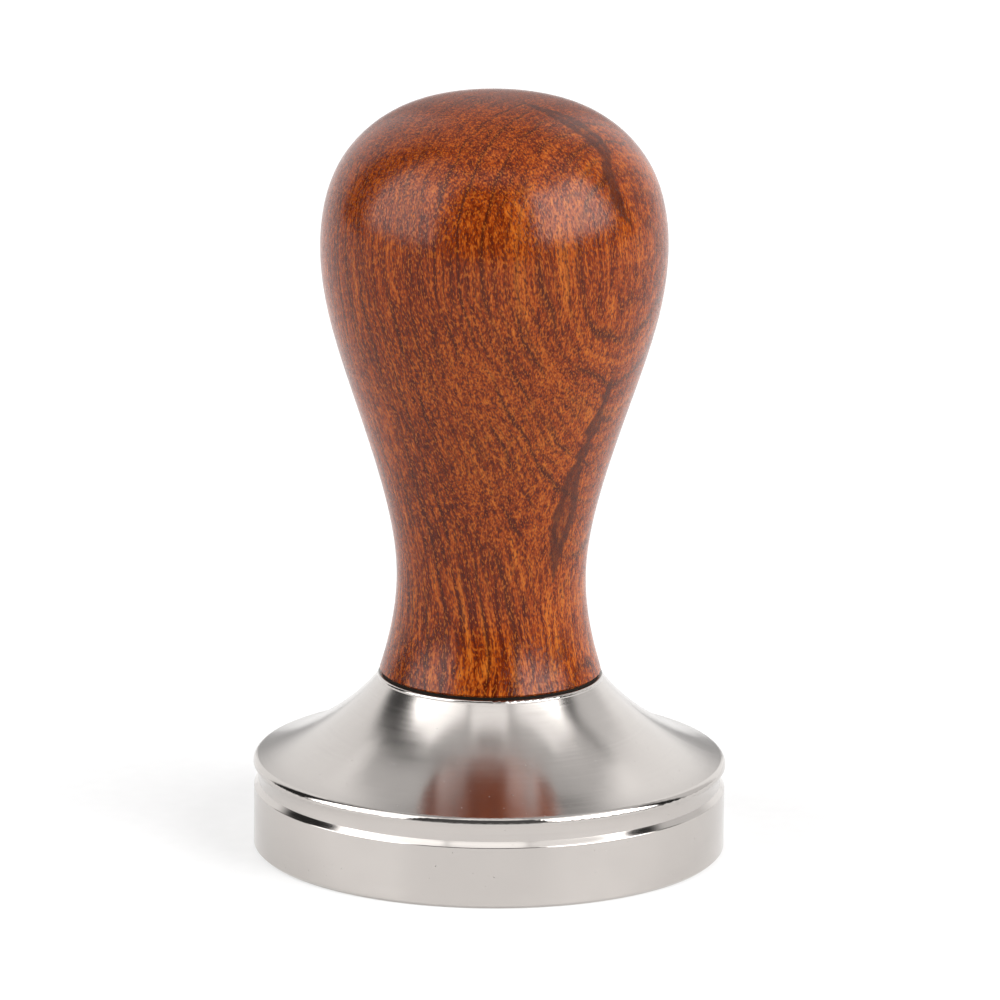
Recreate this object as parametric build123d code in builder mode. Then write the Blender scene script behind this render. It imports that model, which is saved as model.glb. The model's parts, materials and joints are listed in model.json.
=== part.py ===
from build123d import *
import math
import os

# Espresso tamper: a one-piece stainless base, a turned wooden handle that screws on to it, and the
# stud, insert and washer that join the two.
# The tamping face lies at z = 0 with the shared axis on Z. Lengths are in millimetres.

# --- Base -----------------------------------------------------------------------------------------
base_radius = 29.0          # suits a 58 mm filter basket
face_chamfer = 0.35         # broken edge round the tamping face
wall_top = 7.6              # top of the straight wall
wall_edge_round = 0.12
groove_radius = 28.45       # inner corner of the turned groove above the wall
groove_low = 8.25
groove_high = 10.5
groove_sag = 0.22           # hollow of the groove's round-nosed cut
lip_radius = 29.1
lip_top = 11.2              # where the flare would meet the lip's side with no rounding
lip_round = 0.8
flare_middle = [(20.5, 15.35), (16.5, 18.6)]
neck_radius = 13.9
neck_top = 21.9
neck_shoulder = 21.45       # underside of the neck's rim
neck_round = 0.3

# --- Handle ---------------------------------------------------------------------------------------
washer_thickness = 0.3
washer_radius = 13.3
foot_radius = 13.6
foot_chamfer = 0.25
foot_lean = 17.0            # degrees that the outline leans inwards as it leaves the foot
waist = (11.62, 34.0)
lower_taper = (13.59, 46.0)
upper_taper = (17.43, 58.0)
widest = (21.22, 75.5)
shoulder = (18.7, 86.0)
crown = (12.1, 92.0)
overall_height = 94.2

# --- Screw joint: M8 x 1.25. Both threads are plain rounds near their major diameter ----------------
stud_radius = 4.0
running_gap = 0.05          # between the stud and the threads that hold it
stud_length = 30.0
stud_bottom = 7.0
stud_chamfer = 0.7
socket_across_flats = 4.0
socket_depth = 5.0
thread_radius = stud_radius + running_gap
mouth_radius = 4.6          # countersink where a thread starts
tapped_depth = 15.4
drill_radius = 3.35
drill_extra = 0.6           # drilled length below the thread
drill_point_angle = 59.0    # half of the 118 degree point

# --- Insert and the bore that it is pressed into ----------------------------------------------------
insert_length = 13.5
insert_recess = 0.5         # the insert sits this far inside the foot
insert_radius = 5.7
barb_radius = 6.0
barb_count = 5
barb_length = 2.0
insert_bore_radius = 5.85   # the barbs bite into this bore
tip_bore_radius = 4.4       # room for the stud's tip above the insert
tip_bore_length = 3.5

handle_bottom = neck_top + washer_thickness
insert_bottom = handle_bottom + insert_recess
insert_top = insert_bottom + insert_length
mouth_depth = mouth_radius - thread_radius

# --- Tamper base ------------------------------------------------------------------------------------
tapped_bottom = neck_top - tapped_depth
drill_bottom = tapped_bottom - drill_extra
drill_point = drill_bottom - drill_radius / math.tan(math.radians(drill_point_angle))
groove_chord = Vector(lip_radius - groove_radius, groove_high - groove_low)
groove_inward = Vector(-groove_chord.Y, groove_chord.X).normalized()
groove_middle = Vector(groove_radius, groove_low) + groove_chord * 0.5 + groove_inward * groove_sag

with BuildPart() as tamper_base:
    with BuildSketch(Plane.XZ):
        with BuildLine():
            Polyline(
                (0, 0),
                (base_radius - face_chamfer, 0),
                (base_radius, face_chamfer),
                (base_radius, wall_top),
                (groove_radius, groove_low),
            )
            ThreePointArc((groove_radius, groove_low), groove_middle, (lip_radius, groove_high))
            Line((lip_radius, groove_high), (lip_radius, lip_top))
            Spline((lip_radius, lip_top), *flare_middle, (neck_radius, neck_shoulder))
            Polyline((neck_radius, neck_shoulder), (neck_radius, neck_top), (0, neck_top), (0, 0))
        make_face()
    revolve(axis=Axis.Z)
    rims = tamper_base.edges().filter_by(GeomType.CIRCLE)
    fillet(rims.filter_by_position(Axis.Z, lip_top, lip_top), radius=lip_round)
    fillet(rims.filter_by_position(Axis.Z, neck_top, neck_top), radius=neck_round)
    fillet(rims.filter_by_position(Axis.Z, wall_top, wall_top), radius=wall_edge_round)
    with BuildSketch(Plane.XZ):
        with BuildLine():
            Polyline(
                (0, neck_top),
                (mouth_radius, neck_top),
                (thread_radius, neck_top - mouth_depth),
                (thread_radius, tapped_bottom),
                (drill_radius, tapped_bottom),
                (drill_radius, drill_bottom),
                (0, drill_point),
                close=True,
            )
        make_face()
    revolve(axis=Axis.Z, mode=Mode.SUBTRACT)

# --- Threaded stud ------------------------------------------------------------------------------------
with BuildPart() as threaded_stud:
    with BuildSketch(Plane.XY.offset(stud_bottom)):
        Circle(stud_radius)
    extrude(amount=stud_length)
    chamfer(threaded_stud.edges().filter_by(GeomType.CIRCLE), length=stud_chamfer)
    with BuildSketch(Plane.XY.offset(stud_bottom + stud_length)):
        RegularPolygon(radius=socket_across_flats / 2, side_count=6, major_radius=False)
    extrude(amount=-socket_depth, mode=Mode.SUBTRACT)

# --- Threaded insert ----------------------------------------------------------------------------------
barb_gap = (insert_length - barb_count * barb_length) / (barb_count + 1)
barb_taper = math.degrees(math.atan((barb_radius - insert_radius) / barb_length))

with BuildPart() as threaded_insert:
    with BuildSketch(Plane.XY.offset(insert_bottom)):
        Circle(insert_radius)
    extrude(amount=insert_length)
    for barb in range(barb_count):
        barb_bottom = insert_bottom + barb_gap + barb * (barb_length + barb_gap)
        with BuildSketch(Plane.XY.offset(barb_bottom)):
            Circle(barb_radius)
        extrude(amount=barb_length, taper=barb_taper)
    with BuildSketch(Plane.XY.offset(insert_bottom)):
        Circle(thread_radius)
    extrude(amount=insert_length, mode=Mode.SUBTRACT)
    rims = threaded_insert.edges().filter_by(GeomType.CIRCLE)
    chamfer(rims.filter_by(lambda rim: rim.radius == thread_radius), length=mouth_depth)

# --- Seat washer --------------------------------------------------------------------------------------
with BuildPart() as seat_washer:
    with BuildSketch(Plane.XY.offset(neck_top)):
        Circle(washer_radius)
        Circle(mouth_radius, mode=Mode.SUBTRACT)
    extrude(amount=washer_thickness)

# --- Handle -------------------------------------------------------------------------------------------
foot = (foot_radius, handle_bottom + foot_chamfer)
lean = math.radians(foot_lean)

with BuildPart() as handle:
    with BuildSketch(Plane.XZ):
        with BuildLine():
            Polyline(
                (0, overall_height),
                (0, handle_bottom),
                (foot_radius - foot_chamfer, handle_bottom),
                foot,
            )
            Spline(
                foot,
                waist,
                lower_taper,
                upper_taper,
                widest,
                shoulder,
                crown,
                (0, overall_height),
                tangents=[(-math.sin(lean), math.cos(lean)), (-1, 0)],
                tangent_scalars=[1, 1],
            )
        make_face()
    revolve(axis=Axis.Z)
    with BuildSketch(Plane.XY.offset(handle_bottom)):
        Circle(insert_bore_radius)
    extrude(amount=insert_top - handle_bottom, mode=Mode.SUBTRACT)
    with BuildSketch(Plane.XY.offset(insert_top)):
        Circle(tip_bore_radius)
    extrude(amount=tip_bore_length, mode=Mode.SUBTRACT)

# --- Export -------------------------------------------------------------------------------------------
tamper_base.part.label = "tamper_base"
threaded_stud.part.label = "threaded_stud"
threaded_insert.part.label = "threaded_insert"
seat_washer.part.label = "seat_washer"
handle.part.label = "handle"

os.makedirs("parts", exist_ok=True)
export_step(tamper_base.part, "parts/tamper_base.step")
export_step(threaded_stud.part, "parts/threaded_stud.step")
export_step(threaded_insert.part, "parts/threaded_insert.step")
export_step(seat_washer.part, "parts/seat_washer.step")
export_step(handle.part, "parts/handle.step")
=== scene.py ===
import json
import math

import bpy
from mathutils import Matrix, Vector


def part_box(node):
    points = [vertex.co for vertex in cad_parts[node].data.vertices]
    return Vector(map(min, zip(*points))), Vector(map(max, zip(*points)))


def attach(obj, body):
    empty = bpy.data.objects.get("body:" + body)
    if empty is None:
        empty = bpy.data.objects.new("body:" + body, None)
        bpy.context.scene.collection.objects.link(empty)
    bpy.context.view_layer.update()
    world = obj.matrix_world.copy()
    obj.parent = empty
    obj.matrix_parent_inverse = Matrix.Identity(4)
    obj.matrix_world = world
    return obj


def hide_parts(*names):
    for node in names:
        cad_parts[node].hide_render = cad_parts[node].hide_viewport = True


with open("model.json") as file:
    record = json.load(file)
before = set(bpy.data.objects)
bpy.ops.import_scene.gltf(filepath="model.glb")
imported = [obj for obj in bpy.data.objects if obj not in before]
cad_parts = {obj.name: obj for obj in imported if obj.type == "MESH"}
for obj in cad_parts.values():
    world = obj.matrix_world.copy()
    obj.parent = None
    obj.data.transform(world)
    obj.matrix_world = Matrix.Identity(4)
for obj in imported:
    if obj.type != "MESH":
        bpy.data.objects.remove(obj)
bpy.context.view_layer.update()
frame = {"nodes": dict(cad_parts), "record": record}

# Espresso tamper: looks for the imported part. Shapes are worked out in millimetres and made in metres.
MM = 0.001
THREAD_SEGMENTS = 72
SHARP_ANGLE = math.radians(28)

# M8 x 1.25 thread
PITCH = 1.25
PITCH_RADIUS = 3.594
FLANK = math.tan(math.radians(30))
ROWS_PER_PITCH = 20

POLISHED_ROUGHNESS = 0.09
GRAIN_AZIMUTH = math.radians(57)    # the side of the handle where the growth layers lie flat to the surface
GRAIN_LEAN = 0.13                   # how far the layers lean for each millimetre of height
GRAIN_CURL = 0.004                  # how strongly the layers curve away to the sides


# --- Node helper ---------------------------------------------------------------------------------
class Graph:
    """A node tree with short calls that take sockets, numbers or tuples."""

    def __init__(self, tree):
        self.tree = tree
        self.tree.nodes.clear()

    def node(self, kind, inputs=(), **settings):
        made = self.tree.nodes.new("ShaderNode" + kind)
        for key, value in settings.items():
            setattr(made, key, value)
        for key, value in dict(inputs).items():
            self.feed(made.inputs[key], value)
        return made

    def feed(self, socket, value):
        if isinstance(value, bpy.types.NodeSocket):
            self.tree.links.new(value, socket)
        else:
            socket.default_value = value

    def math(self, operation, *values):
        made = self.node("Math", operation=operation)
        for i, value in enumerate(values):
            self.feed(made.inputs[i], value)
        return made.outputs[0]

    def add(self, *values):
        total = values[0]
        for value in values[1:]:
            total = self.math("ADD", total, value)
        return total

    def times(self, a, b):
        return self.math("MULTIPLY", a, b)

    def split(self, vector):
        return self.node("SeparateXYZ", {"Vector": vector}).outputs

    def join(self, x, y, z):
        return self.node("CombineXYZ", {"X": x, "Y": y, "Z": z}).outputs[0]

    def scaled(self, vector, factors):
        made = self.node("VectorMath", {0: vector, 1: factors}, operation="MULTIPLY")
        return made.outputs[0]

    def noise(self, vector, scale=1.0, detail=2.0, roughness=0.5):
        inputs = {"Vector": vector, "Scale": scale, "Detail": detail, "Roughness": roughness}
        return self.node("TexNoise", inputs).outputs["Fac"]

    def line_noise(self, value, scale=1.0, detail=2.0):
        inputs = {"W": value, "Scale": scale, "Detail": detail}
        return self.node("TexNoise", inputs, noise_dimensions="1D").outputs["Fac"]

    def span(self, value, low, high, to_low=0.0, to_high=1.0, smooth=True):
        """to_low at low, changing to to_high at high, and level outside them."""
        inputs = {"Value": value, "From Min": low, "From Max": high, "To Min": to_low, "To Max": to_high}
        kind = "SMOOTHSTEP" if smooth else "LINEAR"
        return self.node("MapRange", inputs, interpolation_type=kind).outputs["Result"]

    def bell(self, value, middle, width):
        """1 at middle, falling to 0 at width on either side."""
        away = self.math("ABSOLUTE", self.math("SUBTRACT", value, middle))
        return self.span(away, 0.0, width, 1.0, 0.0)

    def curve(self, value, points, low, high):
        """A smooth curve through points, from low to high along it and from 0 to 1 up."""
        made = self.node("FloatCurve", {"Value": self.span(value, low, high, smooth=False)})
        line = made.mapping.curves[0]
        spots = [((x - low) / (high - low), y) for x, y in points]
        line.points[0].location = spots[0]
        line.points[1].location = spots[-1]
        for spot in spots[1:-1]:
            line.points.new(*spot)
        for point in line.points:
            point.handle_type = "AUTO_CLAMPED"
        made.mapping.update()
        return made.outputs[0]

    def mix(self, factor, a, b, blend="MIX"):
        made = self.node("Mix", data_type="RGBA", blend_type=blend)
        self.feed(made.inputs[0], factor)
        self.feed(made.inputs[6], a)
        self.feed(made.inputs[7], b)
        return made.outputs[2]

    def ramp(self, value, stops):
        made = self.node("ValToRGB", {"Fac": value})
        elements = made.color_ramp.elements
        while len(elements) < len(stops):
            elements.new(0.5)
        for element, (place, colour) in zip(elements, stops):
            element.position = place
            element.color = colour
        return made.outputs["Color"]

    def bump(self, height, distance):
        return self.node("Bump", {"Height": height, "Distance": distance, "Strength": 1.0}).outputs["Normal"]


def rgb(red, green, blue):
    return (red, green, blue, 1.0)


def new_material(name):
    material = bpy.data.materials.new(name)
    material.use_nodes = True
    return material, Graph(material.node_tree)


def principled(g, inputs):
    shader = g.node("BsdfPrincipled", inputs)
    g.node("OutputMaterial", {"Surface": shader.outputs[0]})


def place_mm(g):
    return g.scaled(g.node("TexCoord").outputs["Object"], (1000.0, 1000.0, 1000.0))


def axis_coordinates(g, place):
    """Height, distance from the axis, and angle in radians: 0 in front and positive to the right."""
    x, y, z = g.split(place)
    radius = g.math("SQRT", g.add(g.times(x, x), g.times(y, y)))
    angle = g.math("ARCTAN2", x, g.times(y, -1.0))
    return z, radius, angle


# --- Materials -----------------------------------------------------------------------------------
def turned_metal(name, colour, roughness, ring_scale, ring_depth, stretch, polished=()):
    """Metal off the lathe: fine rings round the axis, and reflections drawn out across them.

    ring_scale is the rings' noise scale for each millimetre, and ring_depth is in millimetres. Polished
    edges are smoother, and given as (height, half width).
    """
    material, g = new_material(name)
    place = place_mm(g)
    z, radius, angle = axis_coordinates(g, place)
    rings = g.join(radius, z, g.times(angle, 0.25))
    coarse = g.noise(rings, ring_scale, 3.0, 0.6)
    fine = g.noise(rings, ring_scale * 4.5, 2.0, 0.6)
    patches = g.noise(place, 0.16, 3.0, 0.6)
    specks = g.span(g.noise(place, 2.6, 1.0), 0.76, 0.80)
    tone = g.add(0.90, g.times(coarse, 0.10), g.times(patches, 0.10), g.times(specks, -0.22))
    base = g.mix(1.0, colour, g.join(tone, tone, tone), "MULTIPLY")
    rough = g.add(roughness - 0.09, g.times(coarse, 0.09), g.times(patches, 0.05), g.times(fine, 0.04),
                  g.times(specks, 0.15))
    for middle, reach in polished:
        smoother = g.add(POLISHED_ROUGHNESS, g.times(rough, -1.0))
        rough = g.add(rough, g.times(g.bell(z, middle, reach), smoother))
    height = g.add(g.times(coarse, 0.7), g.times(fine, 0.3))
    tangent = g.node("Tangent", direction_type="RADIAL", axis="Z").outputs[0]
    principled(g, {"Base Color": base, "Metallic": 1.0, "Roughness": rough, "Anisotropic": stretch,
                   "Anisotropic Rotation": 0.25, "Tangent": tangent,
                   "Normal": g.bump(height, ring_depth * MM)})
    return material


def stainless():
    edges = [(10.95, 0.55), (7.95, 0.50), (21.7, 0.35)]     # lip, top of the wall, neck rim
    return turned_metal("stainless", rgb(0.540, 0.506, 0.480), 0.180, 5.0, 0.0012, 0.82, edges)


def zinc_steel():
    return turned_metal("zinc_steel", rgb(0.56, 0.57, 0.585), 0.36, 3.0, 0.002, 0.3)


def brass():
    return turned_metal("brass", rgb(0.70, 0.50, 0.22), 0.30, 4.0, 0.002, 0.3)


def dark_rubber():
    material, g = new_material("dark_rubber")
    place = place_mm(g)
    grain = g.noise(place, 9.0, 3.0, 0.6)
    dust = g.noise(place, 0.7, 2.0)
    colour = g.ramp(g.add(g.times(grain, 0.6), g.times(dust, 0.4)),
                    [(0.3, rgb(0.005, 0.004, 0.003)), (0.8, rgb(0.016, 0.012, 0.009))])
    principled(g, {"Base Color": colour, "Roughness": g.span(grain, 0.2, 0.8, 0.62, 0.85), "IOR": 1.2,
                   "Normal": g.bump(grain, 0.02 * MM)})
    return material


def grain_coordinates(g, place):
    """Depth through the growth layers, distance along them, and height, in millimetres. The layers lean."""
    swirl = g.node("TexNoise", {"Vector": place, "Scale": 0.05, "Detail": 2.0}).outputs["Color"]
    centred = g.node("VectorMath", {0: swirl, 1: (0.5, 0.5, 0.5)}, operation="SUBTRACT").outputs[0]
    drift = g.scaled(centred, (3.0, 3.0, 2.0))
    x, y, z = g.split(g.node("VectorMath", {0: place, 1: drift}, operation="ADD").outputs[0])
    across, along = math.sin(GRAIN_AZIMUTH), math.cos(GRAIN_AZIMUTH)
    depth = g.add(g.times(x, across), g.times(y, -along), g.times(z, GRAIN_LEAN))
    side = g.add(g.times(x, along), g.times(y, across))
    layer = g.add(depth, g.times(g.times(side, side), GRAIN_CURL))
    return layer, side, z


def growth_lines(g, place, grain, layer):
    """Thin dark lines along the growth layers: a coarse set, and a finer one between them in places."""
    coarse_per_mm, fine_per_mm = 0.42, 1.16
    wander = g.times(g.noise(g.scaled(grain, (0.4, 0.4, 0.06)), 1.0, 2.0), 1.4)
    depth = g.add(layer, wander)
    coarse = g.bell(g.math("FRACT", g.times(depth, coarse_per_mm)), 0.5, 0.15)
    fine = g.bell(g.math("FRACT", g.times(depth, fine_per_mm)), 0.5, 0.30)
    coarse_mask = g.span(g.noise(g.scaled(place, (0.16, 0.16, 0.05)), 1.0, 1.0), 0.38, 0.55)
    fine_mask = g.span(g.noise(g.scaled(place, (0.11, 0.11, 0.07)), 1.0, 1.0), 0.58, 0.44)
    return g.math("MAXIMUM", g.times(coarse, coarse_mask), g.times(g.times(fine, fine_mask), 0.6))


def mineral_vein(g, place, z, radius, angle):
    """One dark vein down the right of the front, as blotches of changing width. Its core is lighter.

    path gives its angle at each height, and widths its half width there, as a share of widest, which is
    in millimetres.
    """
    path = [(34.0, 0.70), (41.0, 0.72), (44.0, 0.745), (46.4, 0.75), (48.9, 0.745), (52.0, 0.78),
            (55.6, 0.83), (60.0, 0.87), (70.0, 0.92), (80.3, 0.93), (82.5, 0.875), (84.7, 0.85),
            (87.4, 0.87), (90.0, 0.98), (92.1, 0.945), (94.2, 0.80)]
    widths = [(35.0, 0.0), (37.2, 0.18), (41.0, 0.50), (43.8, 0.68), (46.4, 0.60), (48.9, 0.50),
              (50.4, 0.46), (51.4, 0.24), (52.2, 0.42), (53.7, 0.24), (55.6, 0.50), (57.8, 0.22),
              (60.0, 0.22), (64.0, 0.0), (78.0, 0.0), (82.5, 0.25), (84.7, 0.36), (87.4, 0.34),
              (90.0, 0.50), (92.1, 0.55), (93.4, 0.30), (94.2, 0.0)]
    widest = 2.8
    middle = g.curve(z, path, path[0][0], path[-1][0])
    reach = g.curve(z, widths, widths[0][0], widths[-1][0])
    ragged = g.times(g.add(g.noise(place, 0.9, 3.0), -0.5), 1.5)
    offset = g.math("ABSOLUTE", g.times(g.math("SUBTRACT", angle, middle), radius))
    inside = g.add(g.times(reach, widest), g.times(ragged, g.span(reach, 0.0, 0.3)), g.times(offset, -1.0))
    vein = g.times(g.span(inside, -0.25, 0.35), g.span(reach, 0.01, 0.10))
    core = g.times(g.span(inside, 0.9, 1.5), 0.40)
    return g.math("SUBTRACT", vein, core)


def hardwood():
    material, g = new_material("hardwood")
    place = place_mm(g)
    layer, side, height = grain_coordinates(g, place)
    z, radius, angle = axis_coordinates(g, place)
    grain = g.join(layer, side, height)

    bands = g.line_noise(layer, 0.55, 3.0)
    lines = g.line_noise(layer, 2.6, 3.0)
    streaks = g.noise(g.scaled(grain, (1.9, 1.9, 0.050)), 1.0, 3.0, 0.6)
    fibres = g.noise(g.scaled(grain, (3.6, 3.6, 0.16)), 1.0, 2.0, 0.6)
    stripes = g.noise(g.scaled(grain, (0.95, 0.95, 0.02)), 1.0, 2.0)
    pores = g.noise(g.scaled(grain, (5.4, 5.4, 1.9)), 1.0, 0.8)
    clouds = g.noise(place, 0.06, 2.0, 0.5)

    shaded = g.add(g.times(g.bell(angle, -0.95, 0.95), -0.09), g.times(g.span(z, 84.0, 93.0), -0.10))
    striped = g.times(g.add(stripes, -0.5), g.span(z, 44.0, 30.0, 0.3, 1.2))
    tone = g.add(g.times(bands, 0.30), g.times(lines, 0.26), g.times(streaks, 1.05), g.times(fibres, 0.50),
                 g.times(clouds, 0.40), striped, shaded, -0.76)
    colour = g.ramp(tone, [(0.20, rgb(0.062, 0.006, 0.0004)), (0.40, rgb(0.150, 0.019, 0.0008)),
                           (0.56, rgb(0.236, 0.039, 0.0025)), (0.80, rgb(0.385, 0.100, 0.010))])
    lines_dark = growth_lines(g, place, grain, layer)
    colour = g.mix(g.times(lines_dark, 0.86), colour, rgb(0.038, 0.005, 0.001))
    flecks = g.span(pores, 0.53, 0.66)
    colour = g.mix(g.times(flecks, 0.78), colour, rgb(0.050, 0.006, 0.001))
    sparkle = g.span(pores, 0.46, 0.34)
    colour = g.mix(g.times(sparkle, 0.46), colour, rgb(0.400, 0.108, 0.012))
    vein = mineral_vein(g, place, z, radius, angle)
    colour = g.mix(g.times(vein, 0.80), colour, rgb(0.045, 0.008, 0.003))

    rough = g.add(0.15, g.times(fibres, 0.06), g.times(flecks, 0.08), g.times(streaks, 0.05))
    relief = g.add(g.times(fibres, 0.5), g.times(g.times(flecks, -1.0), 0.5))
    principled(g, {"Base Color": colour, "Roughness": rough, "IOR": 1.31,
                   "Normal": g.bump(relief, 0.012 * MM)})
    return material


def floor_paper():
    material, g = new_material("floor_paper")
    place = place_mm(g)
    fibre = g.noise(place, 0.4, 3.0)
    colour = g.ramp(fibre, [(0.2, rgb(0.44, 0.44, 0.44)), (0.8, rgb(0.46, 0.46, 0.46))])
    principled(g, {"Base Color": colour, "Roughness": 0.9, "Specular IOR Level": 0.0,
                   "Emission Color": rgb(1.0, 1.0, 1.0), "Emission Strength": 0.44})
    return material


# --- Meshes --------------------------------------------------------------------------------------
def spin(name, rows, segments, closed=False):
    """A mesh of rings round the Z axis.

    A row is (radius, height), or a function of the angle that gives them. Radius 0 is a single point.
    """
    angles = [2 * math.pi * i / segments for i in range(segments)]
    points, rings, faces = [], [], []
    for row in rows:
        if not callable(row) and row[0] == 0:
            rings.append([len(points)])
            points.append((0.0, 0.0, row[1] * MM))
            continue
        rings.append(list(range(len(points), len(points) + segments)))
        for angle in angles:
            radius, height = row(angle) if callable(row) else row
            points.append((radius * MM * math.cos(angle), radius * MM * math.sin(angle), height * MM))
    pairs = list(zip(rings, rings[1:]))
    if closed:
        pairs.append((rings[-1], rings[0]))
    for low, high in pairs:
        for i in range(segments):
            j = (i + 1) % segments
            if len(low) == 1:
                faces.append((low[0], high[j], high[i]))
            elif len(high) == 1:
                faces.append((low[i], low[j], high[0]))
            else:
                faces.append((low[i], low[j], high[j], high[i]))
    mesh = bpy.data.meshes.new(name)
    mesh.from_pydata(points, [], faces)
    mesh.polygons.foreach_set("use_smooth", [True] * len(mesh.polygons))
    mesh.set_sharp_from_angle(angle=SHARP_ANGLE)
    made = bpy.data.objects.new(name, mesh)
    bpy.context.scene.collection.objects.link(made)
    return made


def thread_radius(angle, height, half_width, lowest, highest):
    """Radius of a right-hand thread that has its crest or groove at angle 0 at height 0."""
    turn = height / PITCH - angle / (2 * math.pi)
    away = abs((turn + 0.5) % 1.0 - 0.5) * PITCH
    return min(max(PITCH_RADIUS + (half_width - away) / FLANK, lowest), highest)


def threaded_rows(bottom, top, radius_at):
    count = round((top - bottom) / PITCH * ROWS_PER_PITCH)
    heights = [bottom + (top - bottom) * i / count for i in range(count + 1)]
    return [lambda angle, height=height: (radius_at(angle, height), height) for height in heights]


def hexagon(across_flats, height):
    def row(angle):
        lean = (angle + math.pi / 6) % (math.pi / 3) - math.pi / 6
        return across_flats / 2 / math.cos(lean), height
    return row


def add_piece(made, node, body, material):
    made.data.materials.append(material)
    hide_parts(node)
    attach(made, body)


def heights_mm(node):
    low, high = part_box(node)
    return low.z / MM, high.z / MM


def add_stud(material):
    bottom, top = heights_mm("threaded_stud")
    root, crest, ridge = 3.2, 3.95, 0.2725      # radii, and half the ridge's width at the pitch radius
    chamfer = 0.7
    socket, socket_depth, socket_cone = 4.0, 5.0, 0.6

    def radius_at(angle, height):
        tip = crest - chamfer + min(height - bottom, top - height)
        return min(thread_radius(angle, height, ridge, root, crest), max(tip, root))

    rows = [(0, bottom), *threaded_rows(bottom, top, radius_at), hexagon(socket, top),
            hexagon(socket, top - socket_depth), (0, top - socket_depth - socket_cone)]
    made = spin("threaded_stud_mesh", rows, THREAD_SEGMENTS)
    add_piece(made, "threaded_stud", "base", material)


def add_insert(material):
    bottom, top = heights_mm("threaded_insert")
    core, barb, barbs, barb_length = 5.7, 6.0, 5, 2.0
    mouth, root, crest, groove = 4.6, 4.05, 3.35, 0.3525    # radii, and half the groove's width
    seam = 0.02                                             # keeps the thread's end rows off the end faces
    rows = [(mouth, bottom), (core, bottom)]
    step = (top - bottom - barbs * barb_length) / 2
    for i in range(barbs):
        foot = bottom + step + i * barb_length
        rows += [(core, foot), (core + 0.02, foot + 0.1), (barb, foot + barb_length * 0.8),
                 (barb, foot + barb_length * 0.85)]
    rows += [(core, top - step), (core, top), (mouth, top)]

    def bore(angle, height):
        flare = mouth - min(height - bottom, top - height)
        return max(thread_radius(angle, height, groove, crest, root), flare)

    rows += list(reversed(threaded_rows(bottom + seam, top - seam, bore)))
    made = spin("threaded_insert_mesh", rows, THREAD_SEGMENTS, closed=True)
    add_piece(made, "threaded_insert", "grip", material)


# --- Studio --------------------------------------------------------------------------------------
def add_floor():
    gap = 0.02          # below the tamping face, so that the two never coincide
    floor = spin("studio_floor", [(radius, 0) for radius in (0, 60, 200, 800, 4000)], 64)
    floor.location.z = -gap * MM
    floor.data.materials.append(floor_paper())


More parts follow.
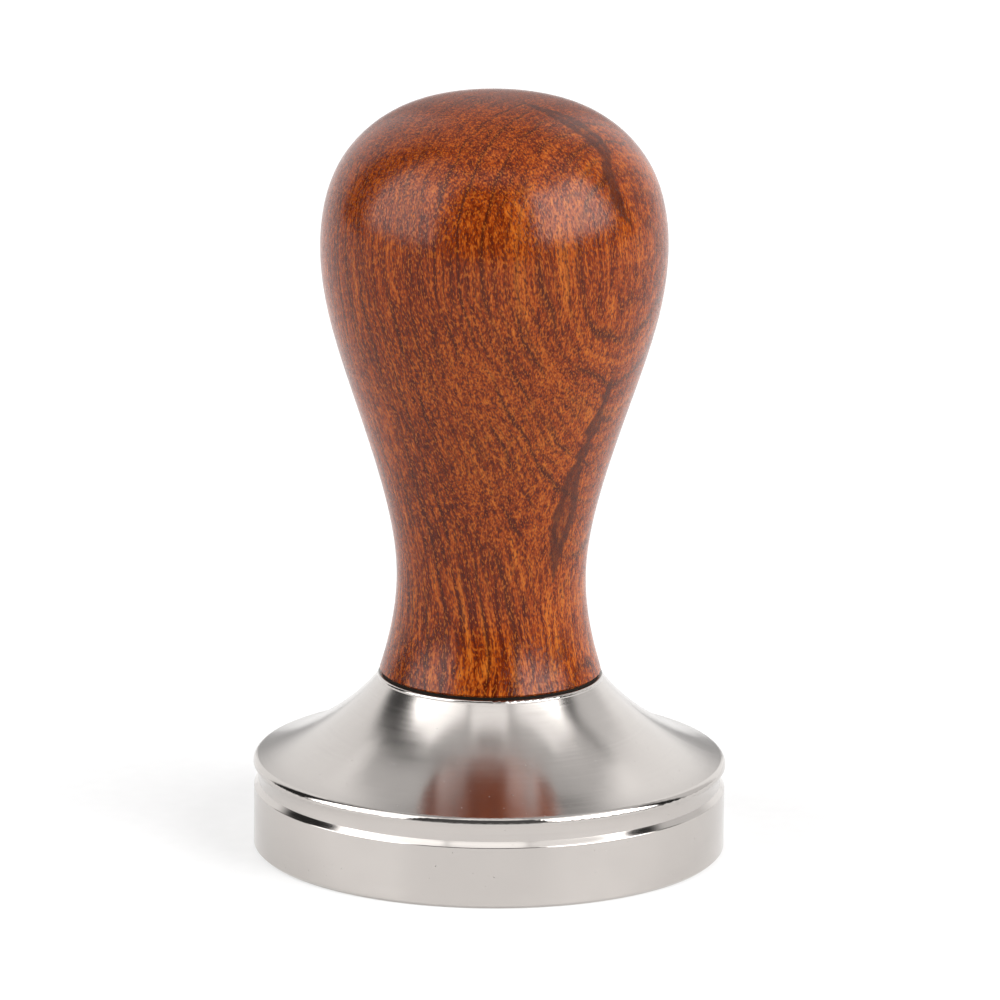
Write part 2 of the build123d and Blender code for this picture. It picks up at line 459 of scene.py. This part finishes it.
def light_studio():
    """White all round for the camera, and soft panels for everything else.

    A panel runs from one azimuth to another and from one elevation to another, in degrees, and has its own
    softness and strength.
    """
    panels = [
        (-96, -41, 5, 50, 5, 4.6),
        (31, 88, 9, 48, 4, 7.4),
        (-99, -34, 50, 66, 3, 1.90),
        (33, 107, 48, 66, 3, 1.30),
        (-33, 32, 58, 75, 5, 1.75),
        (-33, 32, -2, 56, 12, 0.08),
        (-166, -128, -2, 46, 5, 1.12),
        (138, 166, -2, 49, 5, 1.24),
        (-190, -166, -2, 66, 6, 0.46),
        (166, 190, -2, 66, 6, 0.46),
        (-166, -126, 44, 66, 5, 0.66),
        (107, 160, 46, 66, 6, 0.62),
        (107, 138, 0, 44, 4, 0.85),
        (-190, -116, 66, 84, 6, 0.62),
        (-104, -34, 66, 84, 6, 0.60),
        (34, 190, 66, 84, 6, 0.58),
        (-190, 190, 84, 100, 5, 1.25),
        (-190, 190, -95, -1, 2, 0.90),
    ]

    def window(value, start, end, soft):
        return g.times(g.span(value, start - soft, start + soft), g.span(value, end + soft, end - soft))

    world = bpy.data.worlds.new("studio")
    world.use_nodes = True
    bpy.context.scene.world = world
    g = Graph(world.node_tree)
    x, y, z = g.split(g.node("TexCoord").outputs["Generated"])
    azimuth = g.times(g.math("ARCTAN2", x, g.times(y, -1.0)), math.degrees(1))
    elevation = g.times(g.math("ARCSINE", z), math.degrees(1))
    total = 0.03        # what the gaps between the panels give
    for left, right, low, high, soft, strength in panels:
        across = window(azimuth, left, right, soft)
        upright = window(elevation, low, high, soft)
        total = g.add(total, g.times(g.times(across, upright), strength))
    seen = g.node("LightPath").outputs["Is Camera Ray"]
    strength = g.add(g.times(total, g.math("SUBTRACT", 1.0, seen)), seen)
    background = g.node("Background", {"Color": rgb(1.0, 1.0, 1.0), "Strength": strength})
    g.node("OutputWorld", {"Surface": background.outputs[0]})


def add_camera():
    """At the photo's viewing angle: from the front, looking down by the elevation."""
    distance, lens, sensor = 1.2, 352.65, 36.0
    elevation, roll = math.radians(13.9911), math.radians(0.56)
    aim = Vector((0.000989, 0, 0.043673))
    camera = bpy.data.objects.new("camera", bpy.data.cameras.new("camera"))
    camera.data.lens = lens
    camera.data.sensor_width = sensor
    camera.data.clip_start = 0.05
    camera.data.clip_end = 20.0
    turn = Matrix.Rotation(math.pi / 2 - elevation, 4, "X") @ Matrix.Rotation(roll, 4, "Z")
    back = Vector((0, -math.cos(elevation), math.sin(elevation))) * distance
    camera.matrix_world = Matrix.Translation(aim + back) @ turn
    bpy.context.scene.collection.objects.link(camera)
    bpy.context.scene.camera = camera


def dress_cad():
    finishes = {"stainless": stainless(), "hardwood": hardwood(), "dark_rubber": dark_rubber()}
    slots = {part["node"]: part["material_slot"] for part in frame["record"]["subparts"]}
    for node, made in frame["nodes"].items():
        if slots[node] in finishes:
            for place in range(len(made.material_slots)):
                made.material_slots[place].material = finishes[slots[node]]


def build():
    bpy.context.scene.view_settings.view_transform = "Standard"
    dress_cad()
    add_stud(zinc_steel())
    add_insert(brass())
    add_floor()
    light_studio()
    add_camera()


build()
